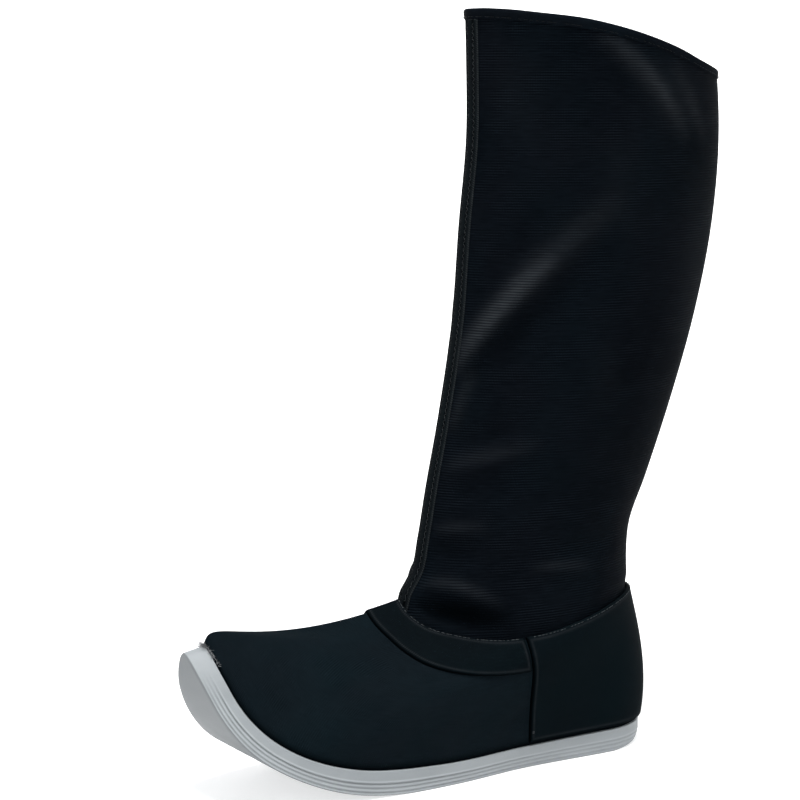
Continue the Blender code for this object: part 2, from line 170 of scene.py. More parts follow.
YARN_PITCH, SLUB_LENGTH, SLUB_WIDTH = 0.62, 7.0, 0.9  # as shares of the ribs' pitch
RIB_RELIEF, YARN_RELIEF, SLUB_RELIEF = 0.25, 0.35, 0.9  # of the pitch, and of the ribs
SLUB_SHARE, CLOUD_SHARE = 0.60, 0.50  # in the colour
CLOUD_SIZES = (0.045, 0.06, 1.0)
PATCH_SIZES, PATCH_RANGE = (0.022, 0.011, 1.0), (0.42, 0.62, 0.08, 1.0)  # where a weave shows more
STREAK_SIZES, STREAK_RANGE = (0.009, 0.0028, 1.0), (0.30, 0.70, 0.70, 1.10)  # of the streaks of the painted highlights
CREST_HIGHLIGHT = (0.70, 0.20)  # how much of a painted highlight crests of ribs take over the rest, and the rest
TINT = (0.86, 1.02, 1.02)  # of the cloth in its greener places
TINT_SIZES, TINT_RANGE = (0.05, 0.07, 1.0), (0.4, 0.62)
FINE_DETAIL = 3.0
CLOTH_SHINE, CLOTH_ROUGH = (0.7, 0.006), (0.55, 0.75)  # roughness and specular, and its range
FOAM_DARK, FOAM_LIGHT = (0.165, 0.181, 0.190), (0.245, 0.263, 0.273)
# Colours the foam is darkened to in its grooves and on its tread, and lightened to along its rib
# crests
FOAM_DARKEST, FOAM_PALEST = (0.11, 0.119, 0.124), (0.33, 0.352, 0.362)
FOAM_MARKS = (("groove", 0.30, FOAM_DARKEST), ("crest", 0.55, FOAM_PALEST), ("tread", 0.75, FOAM_DARKEST))
FOAM_GRAIN, FOAM_CLOUD = (0.0007, 0.0007, 0.0007), (0.03, 0.03, 0.012)
FOAM_GRAINED, FOAM_CLOUDED, FOAM_BASE = 0.25, 0.9, -0.1
FOAM_SHINE, FOAM_ROUGH, FOAM_RELIEF = (0.55, 0.35), (0.48, 0.66), (0.12, 0.0003)
THREADS = {
    "black_thread": ((0.0008, 0.0012, 0.0017), (0.003, 0.004, 0.0052)),
    "dark_thread": ((0.004, 0.0052, 0.0062), (0.019, 0.022, 0.024)),
    "pale_thread": ((0.011, 0.013, 0.0145), (0.052, 0.057, 0.061)),
}
FRAYED_YARN = (0.06, 0.064, 0.068), (0.26, 0.27, 0.278)
TWIST_WAY, TWIST_PITCH = (0.6, 0.3, 0.75), 0.0004
THREAD_SHINE, THREAD_RELIEF = (0.6, 0.05), (0.5, 0.0001)
LINING_COLOURS = (0.030, 0.031, 0.033), (0.085, 0.086, 0.088)
BOARD_COLOURS = (0.16, 0.16, 0.155), (0.34, 0.34, 0.33)
LINING_PITCH, LINING_CLOUD = 0.0009, (0.02, 0.02, 0.02)
LINING_WEAVE, LINING_CLOUDED = 0.5, 0.6
LINING_SHINE, LINING_RELIEF = (0.9, 0.2), (0.3, 0.0002)
SHADER = "Principled BSDF"

# The stage, the light and the photo's view
SWEEP_START, SWEEP_RADIUS, SWEEP_HEIGHT = 2.4, 1.2, 3.0
SWEEP_STEPS, SWEEP_SIDES = 17, 96
FLOOR_SHINE = (0.9, 0.1)
FLOOR_COLOUR = (0.55, 0.553, 0.556, 1.0)
FLOOR_GLOW, GLOW_COLOUR = 0.62, (0.99, 0.995, 1.0, 1.0)
SKY, SKY_COLOUR = 0.25, (0.97, 0.985, 1.0, 1.0)
Lamp = namedtuple("Lamp", "name place aim size power")
LAMPS = (
    Lamp("key", (0.22, 0.35, 2.00), (0.0, 0.0, 0.18), 0.7, 65.0),
    Lamp("backdrop_1", (-1.3, -0.7, 1.9), (-1.8, -3.0, 0.7), 1.0, 60.0),
    Lamp("backdrop_3", (-0.1, -2.5, 1.9), (-1.8, -3.0, 0.7), 1.0, 60.0),
)
CAMERA_AIM = (0.03715, 0.0, 0.2003)
CAMERA_TURN = 30  # degrees forward from the boot's left side
CAMERA_DISTANCE, CAMERA_HEIGHT = 1.30, 0.372
CAMERA_LENS, CAMERA_SENSOR = 111.42, 36.0


class Table:
    """Rows of named columns, read between the rows by a smooth curve along the first column."""

    def __init__(self, names, rows):
        self.where, *columns = np.array(rows, float).T
        self.columns = dict(zip(names.split()[1:], columns))

    def at(self, name, where):
        rows, values = self.where, self.columns[name]
        slopes = np.gradient(values, rows)
        where = np.clip(where, rows[0], rows[-1])
        low = np.clip(np.searchsorted(rows, where) - 1, 0, len(rows) - 2)
        span = rows[low + 1] - rows[low]
        t = (where - rows[low]) / span
        ease = t * t * (3 - 2 * t)
        leave, arrive = t * (1 - t) ** 2, t * t * (t - 1)
        bend = (leave * slopes[low] + arrive * slopes[low + 1]) * span
        return values[low] + (values[low + 1] - values[low]) * ease + bend

    def all_at(self, where):
        return [self.at(name, where) for name in self.columns]


SOLE_PLAN = Table("along half_width thick", (
    (0, 0.0295, 0.013),
    (0.04, 0.032, 0.0128),
    (0.095, 0.0352, 0.0119),
    (0.14, 0.0433, 0.0121),
    (0.175, 0.0459, 0.0134),
    (0.205, 0.0445, 0.0131),
    (0.235, 0.0392, 0.012),
    (0.262, 0.0304, 0.0118),
    (0.288, 0.0223, 0.0114),
    (SOLE_LENGTH, 0.0106, 0.012),
))

# How far the sole has turned up from the floor, in degrees, along it as cut flat.
CURL = Table("along turn", (
    (FLAT_LENGTH, 0),
    (0.195, 8.7),
    (0.22, 20.1),
    (0.245, 31.4),
    (0.27, 51.1),
    (0.295, 69),
    (SOLE_LENGTH, 78.4),
))
FOOT_SHAPE = Table("angle lift raise flare drop ahead out", (
    (0, 0, 0.02, 0, 0.0212, 0.092, 0),
    (25, 0.016, 0.008, 0.001, 0.0095, 0.029, 0.006),
    (50, 0.026, 0, 0.003, 0.014, 0.036, 0.007),
    (75, 0.03, 0, 0.0025, 0.017, 0.02, 0.006),
    (100, 0.03, 0, 0.002, 0.02, 0.006, 0.005),
    (140, 0.028, 0, 0.004, 0.024, 0, 0.004),
    (180, 0.026, 0, 0.006, 0.026, -0.01, 0),
))
SHAFT = Table("height front_x back_x half_width", (
    (0.07, 0.153, 0.0065, 0.039),
    (0.084, 0.152, 0.0067, 0.0385),
    (0.094, 0.1493, 0.0068, 0.038),
    (0.106, 0.1417, 0.0074, 0.0375),
    (0.124, 0.1374, 0.006, 0.0378),
    (0.15, 0.1326, -0.0048, 0.039),
    (0.19, 0.1244, -0.0201, 0.0413),
    (0.24, 0.1162, -0.0365, 0.0433),
    (0.29, 0.1121, -0.0476, 0.0443),
    (0.34, 0.1073, -0.0513, 0.0447),
    (0.376, 0.1074, -0.0487, 0.0447),
    (0.404, 0.1081, -0.044, 0.0447),
))
SHAFT_EDGES = Table("angle seam collar", (
    (0, 0.092, 0.4046),
    (12, 0.0855, 0.4046),
    (27, 0.079, 0.4039),
    (45, 0.075, 0.402),
    (65, 0.0725, 0.3993),
    (85, 0.074, 0.3941),
    (110, 0.079, 0.3854),
    (130, 0.0835, 0.3778),
    (150, 0.0865, 0.3735),
    (180, 0.088, 0.372),
))

# Width of the ankle band below the ankle seam, by the angle round from the front.
BAND = Table("angle width", (
    (0, 0.0215),
    (20, 0.0214),
    (38, 0.0232),
    (55, 0.0242),
    (72, 0.0224),
    (90, 0.019),
    (120, 0.0184),
))

# Soft folds of the shaft, each from one place on it to another. Angles are degrees round from the
# front, above zero on the left; a bow lifts the middle; a depth below zero is a trough.
Fold = namedtuple("Fold", "angle height to_angle to_height bow half_width depth")
FOLDS = [Fold(*row) for row in (
    (8, 0.209, 74, 0.296, 0.002, 0.0065, 0.0032),
    (18, 0.202, 78, 0.279, 0, 0.009, -0.0022),
    (8, 0.238, 52, 0.297, 0, 0.0085, -0.0014),
    (71, 0.391, 107, 0.346, 0.005, 0.0065, 0.0024),
    (62, 0.39, 95, 0.336, 0.003, 0.01, -0.0018),
    (50, 0.344, 92, 0.27, 0, 0.018, 0.001),
    (62, 0.242, 102, 0.18, 0, 0.013, 0.0011),
    (20, 0.211, 11, 0.182, 0, 0.005, 0.0014),
    (7, 0.159, 66, 0.174, 0, 0.0052, 0.0016),
    (8, 0.171, 62, 0.188, 0, 0.0065, -0.0013),
    (8, 0.147, 56, 0.153, 0, 0.006, -0.0011),
    (7, 0.1275, 48, 0.13, 0.001, 0.0042, 0.0014),
    (8, 0.117, 50, 0.117, 0, 0.0062, -0.0014),
    (8, 0.099, 68, 0.0865, 0.0065, 0.0046, 0.0027),
    (8, 0.0905, 68, 0.0785, 0.001, 0.007, -0.0042),
    (70, 0.1085, 114, 0.1055, 0.001, 0.0042, 0.0012),
    (86, 0.118, 132, 0.119, 0, 0.0065, -0.0009),
    (-22, 0.238, -78, 0.312, 0.002, 0.0065, 0.0028),
    (-24, 0.224, -80, 0.292, 0, 0.009, -0.0018),
    (-68, 0.392, -104, 0.344, 0.004, 0.0065, 0.002),
    (-58, 0.35, -94, 0.282, 0, 0.018, 0.001),
    (-62, 0.25, -104, 0.188, 0, 0.013, 0.0011),
    (-24, 0.176, -68, 0.19, 0, 0.0052, 0.0014),
    (-22, 0.14, -58, 0.136, 0.001, 0.0048, 0.0012),
    (-20, 0.104, -64, 0.0945, 0.004, 0.0048, 0.0024),
    (-18, 0.089, -62, 0.08, 0.002, 0.0074, -0.0036),
    (-84, 0.112, -122, 0.108, 0.001, 0.0042, 0.0012),
)]
# Painted highlights on the shaft's folds, in the same columns. Their depth is how pale, up to 1.
HIGHLIGHTS = [Fold(*row) for row in (
    (0, 0.2105, 56, 0.278, 0.002, 0.0054, 1),
    (34, 0.252, 84, 0.309, 0.002, 0.008, 0.3),
    (70, 0.3945, 118, 0.336, 0.004, 0.0054, 0.62),
    (108, 0.379, 132, 0.332, 0, 0.005, 0.34),
    (90, 0.374, 124, 0.342, 0, 0.017, 0.14),
    (128, 0.33, 140, 0.215, 0, 0.016, 0.16),
    (20, 0.218, 10, 0.18, 0, 0.0042, 0.28),
    (8, 0.163, 66, 0.1775, 0, 0.0044, 0.2),
    (8, 0.13, 48, 0.1325, 0.001, 0.0034, 0.2),
    (10, 0.1005, 66, 0.089, 0.0065, 0.0036, 0.3),
    (72, 0.11, 112, 0.1075, 0.001, 0.003, 0.28),
    (24, 0.39, 34, 0.336, 0, 0.012, 0.07),
    (77, 0.342, 84, 0.283, 0, 0.013, 0.07),
    (82, 0.232, 93, 0.188, 0, 0.01, 0.07),
    (-22, 0.243, -78, 0.314, 0.003, 0.0052, 0.6),
    (-69, 0.394, -104, 0.347, 0.004, 0.0055, 0.36),
    (-24, 0.179, -66, 0.193, 0, 0.0044, 0.24),
    (-20, 0.1065, -64, 0.0965, 0.004, 0.0036, 0.45),
)]
# Painted shade in the shaft's hollows, in the same columns.
HOLLOW_SHADES = [Fold(*row) for row in (
    (14, 0.0895, 74, 0.081, 0.002, 0.007, 0.95),
    (-14, 0.0895, -70, 0.081, 0.002, 0.0066, 0.65),
    (12, 0.202, 66, 0.269, 0, 0.008, 0.25),
)]
FOLD_POINTS = 81
FOLD_REACH = 2.2  # times its half width
FOLD_FADE = 0.8  # below 1, a fold keeps more of its height near its ends
FOLD_START = 0.02  # share of the shaft above the ankle seam over which folds set in
SEAM_SHARE, SEAM_HALF, SEAM_FADE = 0.12, 4.0, 14.0  # hold of the front and back seams, in degrees


def rounded_end(share):
    """Height of a quarter ellipse, from 0 at its tip to 1 where it ends."""
    return np.sqrt(1 - (1 - np.clip(share, 0, 1)) ** 2)


def eased(share):
    """A smooth step from 0 to 1."""
    share = np.clip(share, 0, 1)
    return share * share * (3 - 2 * share)


def turn_at(along):
    """How far the sole has turned up from the floor, in radians."""
    return np.radians(CURL.at("turn", along))


def underside():
    """Places along the flat sole, and how far forward and up the curl carries them."""
    along = np.linspace(0, SOLE_LENGTH, CURL_POINTS)
    turn = turn_at((along[1:] + along[:-1]) / 2)
    forward, up = (np.insert(np.cumsum(way(turn)), 0, 0) * along[1] for way in (np.cos, np.sin))
    return along, forward, up


UNDERSIDE = underside()


def bend(along, across, up):
    """A point of the flat sole, carried to where the curled sole has it."""
    places, forward, rise = UNDERSIDE
    turn = turn_at(along)
    x = np.interp(along, places, forward) - up * np.sin(turn)
    z = np.interp(along, places, rise) + up * np.cos(turn)
    return np.stack([x, across + 0 * x, z], -1)


def outline(angle, inset):
    """The flat sole's edge, moved in by inset: along the sole and across it."""
    room = SOLE_LENGTH - 2 * inset
    along = inset + room * (1 + np.cos(angle)) / 2
    half = SOLE_PLAN.at("half_width", along) - inset
    half *= rounded_end((along - inset) / HEEL_ROUND)
    half *= rounded_end((SOLE_LENGTH - inset - along) / TOE_ROUND)
    return along, half * np.sign(np.sin(angle))


def sole_edge(angle, inset, share, over=0.0):
    """A point of the sole's edge at a share of its thickness, or over its top by that much."""
    along, across = outline(angle, inset)
    return bend(along, across, SOLE_PLAN.at("thick", along) * share + over)


def turned(angle):
    """How far round from the front an angle lies on either side, in degrees."""
    return np.degrees(np.abs((angle + math.pi) % (2 * math.pi) - math.pi))


def shaft_wall(angle, rise):
    """A point of the shaft between the ankle seam, at rise 0, and the collar, at rise 1."""
    low, high = SHAFT_EDGES.all_at(turned(angle))
    z = low + (high - low) * rise
    front, back, half_width = SHAFT.all_at(z)
    forward = np.sign(np.cos(angle)) * np.sqrt(1 - np.abs(np.sin(angle)) ** RIDGE)
    x = (front + back) / 2 + (front - back) / 2 * forward
    return np.stack([x, half_width * np.sin(angle), z], -1)


def foot_wall(angle, rise):
    """A point of the upper between the sole, at rise 0, and the ankle seam, at rise 1."""
    sizes = FOOT_SHAPE.all_at(turned(angle))
    lift, higher, flare, drop, ahead, out = (size[..., None] for size in sizes)
    along, _ = outline(angle, FEATHER_INSET)
    turn = turn_at(along)
    square = np.stack([-np.sin(turn), 0 * turn, np.cos(turn)], -1)
    outward = np.stack([np.minimum(np.cos(angle), 0), np.sin(angle), 0 * angle], -1)
    foot = sole_edge(angle, FEATHER_INSET, 1.0, GAP)
    seam = shaft_wall(angle, 0 * angle)
    leave = foot + lift * square + higher * [0, 0, 1] + flare * outward
    arrive = seam + np.concatenate([ahead, out * np.sin(angle)[..., None], -drop], -1)
    t = rise[..., None]
    s = 1 - t
    return s**3 * foot + 3 * s * s * t * leave + 3 * s * t * t * arrive + t**3 * seam


def upper_skin(angle, rise):
    """The upper's outer face: rise 0 at the sole, 1 at the ankle seam, 2 at the collar."""
    angle, rise = np.broadcast_arrays(angle, rise)
    foot, shaft = foot_wall(angle, np.clip(rise, 0, 1)), shaft_wall(angle, np.clip(rise - 1, 0, 1))
    return np.where((rise <= 1)[..., None], foot, shaft)


def unit(ways):
    """The same directions, each of length 1."""
    return ways / np.linalg.norm(ways, axis=-1, keepdims=True)


def upper_normal(angle, rise):
    """The way out of the upper's outer face."""
    low, high = np.clip(rise - NORMAL_STEP, 0, 2), np.clip(rise + NORMAL_STEP, 0, 2)
    along = upper_skin(angle + NORMAL_STEP, rise) - upper_skin(angle - NORMAL_STEP, rise)
    return unit(np.cross(along, upper_skin(angle, high) - upper_skin(angle, low)))


def fold_path(fold):
    """Points along a fold's line on the shaft, with the share of the way to each."""
    share = np.linspace(0, 1, FOLD_POINTS)
    angle = np.radians(fold.angle + (fold.to_angle - fold.angle) * share)
    height = fold.height + (fold.to_height - fold.height) * share
    height += fold.bow * 4 * share * (1 - share)
    low, high = SHAFT_EDGES.all_at(turned(angle))
    return share, shaft_wall(angle, (height - low) / (high - low))


def swell(skin, folds):
    """What the folds add up to at points of the shaft, each fading across and to its ends."""
    flat = skin.reshape(-1, 3)
    total = np.zeros(len(flat))
    for fold in folds:
        share, path = fold_path(fold)
        reach = FOLD_REACH * fold.half_width
        inside = (flat > path.min(0) - reach) & (flat < path.max(0) + reach)
        near = np.flatnonzero(inside.all(1))
        gaps = np.linalg.norm(flat[near, None] - path, axis=-1)
        closest = gaps.argmin(1)
        distance = gaps[np.arange(len(near)), closest] / fold.half_width
        fade = np.sin(math.pi * share[closest]) ** FOLD_FADE
        total[near] += fold.depth * fade * np.exp(-distance**2)
    return total.reshape(skin.shape[:-1])


def seam_hold(degrees):
    """Share of a fold's height that the stiff front and back seams let through."""
    front, back = (eased((away - SEAM_HALF) / SEAM_FADE) for away in (degrees, 180 - degrees))
    return SEAM_SHARE + (1 - SEAM_SHARE) * front * back


def cloth_point(angle, rise, offset=0.0):
    """A point that lies offset out from the upper's creased face."""
    angle, rise = np.broadcast_arrays(angle, rise)
    skin = upper_skin(angle, rise)
    lift = swell(skin, FOLDS) * eased((rise - 1) / FOLD_START) * seam_hold(turned(angle))
    return skin + (offset + lift)[..., None] * upper_normal(angle, rise)


def tuck(rise):
    """How far in the shaft's cloth lies where it goes down behind the panels."""
    return -TUCK_DEPTH * (1 - eased((rise - 1) / TUCK_HEIGHT))


def solve(low, high, short_of):
    """Where short_of, true at low, turns false on the way to high."""
    for _ in range(HALVINGS):
        middle = (low + high) / 2
        reached = short_of(middle)
        low, high = np.where(reached, middle, low), np.where(reached, high, middle)
    return (low + high) / 2


def counter_edge(rise, ahead=0.0):
    """The angle of the counter's front edge on the left, or of a line that far ahead of it."""
    rise = np.asarray(rise, float)
    low, high = COUNTER_FRONT
    x = low + (high - low) * rise + ahead
    return solve(FRONT + 0 * x, BACK + 0 * x, lambda angle: upper_skin(angle, rise)[..., 0] > x)


def rise_below_seam(angle, distance):
    """How far up the foot's wall a point lies this distance below the ankle seam."""
    seam = upper_skin(np.linspace(-math.pi, math.pi, SEAM_POINTS), 1.0)

    def far_enough(rise):
        gaps = np.linalg.norm(upper_skin(angle, rise)[:, None] - seam, axis=-1)
        return gaps.min(1) > distance

    return solve(0 * angle, 1 + 0 * angle, far_enough)


# Angles across the band, and the rises of its lower edge there
BAND_ANGLES = np.linspace(-BAND_REACH, BAND_REACH, BAND_POINTS)
BAND_FOOT = rise_below_seam(BAND_ANGLES, BAND.at("width", turned(BAND_ANGLES)))


def band_rises(angle, share):
    """Rises at a share of the way up the ankle band."""
    lower = np.interp(angle, BAND_ANGLES, BAND_FOOT)
    return lower + (PANEL_TOP - lower) * share


def band_end(share):
    """The angle where the band meets the counter, closed in on step by step."""
    end = np.array([math.pi / 2])
    for _ in range(BAND_ROUNDS):
        end = counter_edge(band_rises(end, share), BAND_AHEAD)
    return end[0]


def quads(rows, columns, closed_rows=False, closed_columns=False):
    """Corner numbers of the four-sided faces of a grid of points."""
    row = np.arange(rows if closed_rows else rows - 1)[:, None]
    column = np.arange(columns if closed_columns else columns - 1)
    below, above = row * columns, (row + 1) % rows * columns
    after = (column + 1) % columns
    corners = [below + column, below + after, above + after, above + column]
    return np.stack(corners, -1).reshape(-1, 4)


def run_along(points, axis=0):
    """Distance from the first point to each along an axis of a grid."""
    gaps = np.linalg.norm(np.diff(points, axis=axis), axis=-1)
    return np.insert(np.cumsum(gaps, axis), 0, 0, axis)


def tube_uv(rings):
    """Cloth coordinates, in metres, for the corners of a closed tube's faces."""
    rows, columns = rings.shape[:2]
    closed = np.pad(rings, ((0, 1), (0, 1), (0, 0)), mode="wrap")
    round_it, along_it = run_along(closed, 1), run_along(closed, 0)
    places = np.stack([round_it - round_it[:, columns // 2, None], along_it], -1)
    return places.reshape(-1, 2)[quads(rows + 1, columns + 1)]


def add_piece(name, points, faces, finish, node=None, uv=None, marks=None):
    """A mesh piece of the boot. Marks are named values at its points, for its material."""
    mesh = bpy.data.meshes.new(name)
    mesh.from_pydata((points - [ORIGIN_X, 0, 0]).tolist(), [], [list(face) for face in faces])
    if uv is not None:
        layer = mesh.uv_layers.new(name="cloth")
        layer.data.foreach_set("uv", np.asarray(uv, np.float32).ravel())
    for mark, values in (marks or {}).items():
        attribute = mesh.attributes.new(mark, "FLOAT", "POINT")
        attribute.data.foreach_set("value", np.asarray(values, np.float32).ravel())
    mesh.shade_smooth()
    mesh.set_sharp_from_angle(angle=SHARP_ANGLE)
    mesh.materials.append(finish)
    piece = bpy.data.objects.new(name, mesh)
    bpy.context.scene.collection.objects.link(piece)
    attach(piece, "root")
    if node:
        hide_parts(node)


def add_tube(name, rings, finish, node, marks=None):
    """A closed tube of cloth whose rings run round its section and back to the first."""
    faces = quads(*rings.shape[:2], closed_rows=True, closed_columns=True)
    add_piece(name, rings.reshape(-1, 3), faces, finish, node, tube_uv(rings), marks)


def add_wall(name, rises, offsets, thick, finish):
    """Cloth round the upper between two rises, fine outside and coarser inside."""
    levels = rises[:, None]
    outer = cloth_point(RING, levels, offsets[:, None])
    inner = cloth_point(RING, levels[::-2], offsets[::-2, None] - thick)
    skin = upper_skin(RING, levels)
    # Painted highlights on the shaft's folds; painted shade in its hollows and along the vamp's foot
    # at the sole
    highlit, hollow_shade = (np.clip(swell(skin, places), 0, 1) * (levels > 1) for places in (HIGHLIGHTS, HOLLOW_SHADES))
    shade = np.maximum(np.exp(-((levels / FOOT_SHADE) ** 2)), hollow_shade)
    hidden = np.zeros(inner.shape[:2])
    marks = {"highlight_mark": np.concatenate([highlit, hidden]), "shade": np.concatenate([shade, hidden])}
    add_tube(name, np.concatenate([outer, inner]), finish, "upper", marks)


def add_panel(name, angle, rise, thick, finish, node, settle=0.0, highlight_place=HIGHLIGHT_PLACE, sewn=0.0):
    """A sheet on the upper with rolled edges, drawn down where sewn. It has a painted highlight line
    along its edges, and painted shade where sewn and, when that line lies in from them, along all
    edges but the top one.
    """
    flat = cloth_point(angle, rise, settle)
    rows, columns = flat.shape[:2]
    edges = []
    for axis in (0, 1):
        run = run_along(flat, axis)
        edges += [run, np.take(run, [-1], axis) - run]
    edge = np.min(edges, axis=0)
    offset = settle + RIM_FOOT + thick * rounded_end(edge / RIM) - TAPE_SINK * sewn
    outer = cloth_point(angle, rise, offset)
    points = np.concatenate([outer, flat]).reshape(-1, 3)
    sheet, count = quads(rows, columns), rows * columns
    border = np.concatenate([
        np.arange(columns),
        np.arange(2, rows + 1) * columns - 1,
        np.arange(columns - 2, -1, -1) + (rows - 1) * columns,
        np.arange(rows - 2, 0, -1) * columns,
    ])
    after = np.roll(border, -1)
    sides = np.stack([after, border, border + count, after + count], -1)
    faces = np.concatenate([sheet, sheet[:, ::-1] + count, sides])
    places = np.stack([edges[2] - edges[2][:, columns // 2, None], edges[0]], -1).reshape(-1, 2)
    uv = np.tile(places, (2, 1))[faces]
    # Painted highlight: a light line in from the edges. Painted shade: along the lower and side
    # edges, and along sewn lines.
    highlight_mark = np.exp(-(((edge - highlight_place) / HIGHLIGHT_REACH) ** 2))
    to_shaded_edge = np.minimum(edges[0], np.minimum(edges[2], edges[3]))
    shade = np.maximum(np.exp(-((to_shaded_edge / SHADE_REACH) ** 2)) * (highlight_place > 0), sewn)
    marks = {"highlight_mark": [highlight_mark, highlight_mark], "shade": [shade, shade]}
    add_piece(name, points, faces, finish, node, uv, marks)


def crowded(length, steps):
    """Shares of a length, closer together towards both ends."""
    zone = min(EDGE_ZONE / length, 0.5 - 1 / steps)
    near = zone * np.linspace(0, 1, EDGE_STEPS + 1) ** 2
    middle = np.linspace(zone, 1 - zone, steps + 1)
    return np.concatenate([near[:-1], middle, 1 - near[-2::-1]])


def build_counter(finish):
    rows, columns = COUNTER_GRID
    rise = COUNTER_FOOT + (PANEL_TOP - COUNTER_FOOT) * crowded(COUNTER_HEIGHT, rows)[:, None]
    across = 2 * crowded(COUNTER_LENGTH, columns) - 1
    angle = BACK + (BACK - counter_edge(rise)) * across
    add_panel("heel_counter", angle, rise, PANEL_GAP + COUNTER_THICK - RIM_FOOT, finish, "counter")


def build_band(finish):
    rows, columns = BAND_GRID
    shares = crowded(BAND_HEIGHT, rows)
    across = 2 * crowded(BAND_LENGTH, columns) - 1
    angle = np.array([FRONT + band_end(share) * across for share in shares])
    rise = band_rises(angle, shares[:, None])
    add_panel("instep_band", angle, rise, PANEL_GAP + BAND_THICK - RIM_FOOT, finish, "ankle_band")


def front_angle(rise, across):
    """The angle of a place this far to the left of the shaft's front line."""
    half_width = SHAFT.at("half_width", upper_skin(FRONT, rise)[..., 2])
    return np.arcsin(across / half_width)


def build_tape(finish):
    rows, columns = TAPE_GRID
    low, high = SEEN_TAPE_ENDS
    rise = low + (high - low) * crowded(SHAFT_LENGTH, rows)[:, None]
    across = TAPE_WIDTH * (crowded(TAPE_WIDTH, columns) - 0.5)
    # Where the tape is sewn down, it is drawn in and given painted shade
    sewn = np.exp(-(((np.abs(across) - TAPE_STITCH) / TAPE_GROOVE) ** 2))
    add_panel("front_tape", front_angle(rise, across), rise, TAPE_THICK, finish, "front_seam_tape",
              settle=tuck(rise), highlight_place=0.0, sewn=sewn)


def build_binding(finish):
    """The strip folded over the collar's edge, as a rounded U."""
    foot = 2 - BINDING_DEPTH / SHAFT_LENGTH
    middle, half = -WALL / 2, WALL / 2 + BINDING_OUT
    legs, arc = (np.linspace(0, end, steps) for end, steps in zip((1, math.pi), BINDING_STEPS))
    rises = foot + (2 - foot) * legs
    swollen = GAP + (BINDING_OUT - GAP) * eased(legs + BINDING_LIP)
    section = [(foot, GAP, 0.0)]
    section += [(rise, offset, 0.0) for rise, offset in zip(rises, swollen)]
    section += [(2, middle + half * math.cos(t), BINDING_RISE * math.sin(t)) for t in arc[1:-1]]
    section += [(rise, middle - half, 0.0) for rise in rises[::-1]]
    section += [(foot, -WALL - GAP, 0.0), (2, -WALL - GAP, GAP), (2, GAP, GAP)]
    rings = [cloth_point(RING, rise, offset) + [0, 0, lift] for rise, offset, lift in section]
    add_tube("collar_edge", np.array(rings), finish, "collar_binding")


def capped(rings):
    """A stack of rings as points and faces, closed below and above by grids."""
    rows, columns = rings.shape[:2]
    points, faces = [rings.reshape(-1, 3)], [quads(rows, columns, closed_columns=True)]
    half = columns // 2
    shares = np.linspace(0, 1, CAP_STEPS + 1)[None, :, None]
    for row, flipped in ((0, True), (rows - 1, False)):
        left, ring = np.arange(half) + row * columns, rings[row]
        right = (2 * row + 1) * columns - 1 - left
        grid = ring[:half, None] * (1 - shares) + ring[::-1][:half, None] * shares
        first = sum(len(group) for group in points)
        inner = np.arange(half * (CAP_STEPS - 1)).reshape(half, -1) + first
        numbers = np.concatenate([left[:, None], inner, right[:, None]], 1)
        corners = numbers.ravel()[quads(half, CAP_STEPS + 1)]
        faces.append(corners if flipped else corners[:, ::-1])
        points.append(grid[:, 1:-1].reshape(-1, 3))
    return np.concatenate(points), np.concatenate(faces)


def sole_profile():
    """Levels up the sole's side: their insets, and how far in a groove or on a crest they lie."""
    height = np.linspace(0, RIBBED_THICK, SOLE_ROWS)
    groove = np.zeros(SOLE_ROWS)
    for rib in range(1, RIB_COUNT + 1):
        away = np.abs(height - rib * RIB_PITCH + GROOVE_WIDTH / 2) / GROOVE_WIDTH
        groove += np.cos(np.clip(away, 0, 1) * math.pi / 2) ** 2
    below = height < RIB_COUNT * RIB_PITCH - GROOVE_WIDTH / 2
    ribbed = GROOVE_DEPTH / 2 * below * (1 - groove) + GROOVE_DEPTH * groove
    foot = TREAD_ROUND * (1 - rounded_end(height / TREAD_ROUND))
    top = FEATHER_ROUND * (1 - rounded_end((RIBBED_THICK - height) / FEATHER_ROUND))
    crests = (np.arange(RIB_COUNT + 1) + 0.5) * RIB_PITCH - GROOVE_WIDTH / 2
    crest = np.exp(-(((height[:, None] - crests) / CREST_HALF) ** 2)).sum(1)
    return height / RIBBED_THICK, ribbed, foot + top, groove, crest


def heel_wear(angle, share):
    """How far in the sole's edge lies where the heel is rounded off."""
    along, _ = outline(angle, 0.0)
    near = np.clip(1 - along / WEAR_LENGTH, 0, 1)
    return HEEL_WEAR * near * (1 - rounded_end(share / WEAR_SHARE))


def build_sole(finish):
    angles = RING + math.pi
    along, _ = outline(angles, 0.0)
    near, far = RIB_FADE
    fade = eased((SOLE_LENGTH - along - near) / (far - near))
    near, far = RIB_WORN
    fade *= 1 - RIB_LOSS * eased((far - along) / (far - near))
    rings = []
    share, ribbed, rounding, groove, crest = sole_profile()
    for level, rib, round_off in zip(share, ribbed, rounding):
        inset = rib * fade + round_off + heel_wear(angles, level)
        rings.append(sole_edge(angles, inset, level))
    points, faces = capped(np.array(rings))
    side = len(rings) * len(angles)
    marks = {name: np.zeros(len(points)) for name in ("groove", "crest", "tread")}
    marks["groove"][:side] = (groove[:, None] * fade).ravel()
    marks["crest"][:side] = (crest[:, None] * fade).ravel()
    marks["tread"][:len(angles) * TREAD_ROWS] = 1.0
    marks["tread"][side:(side + len(points)) // 2] = 1.0
    add_piece("ribbed_sole", points, faces, finish, "sole", marks=marks)


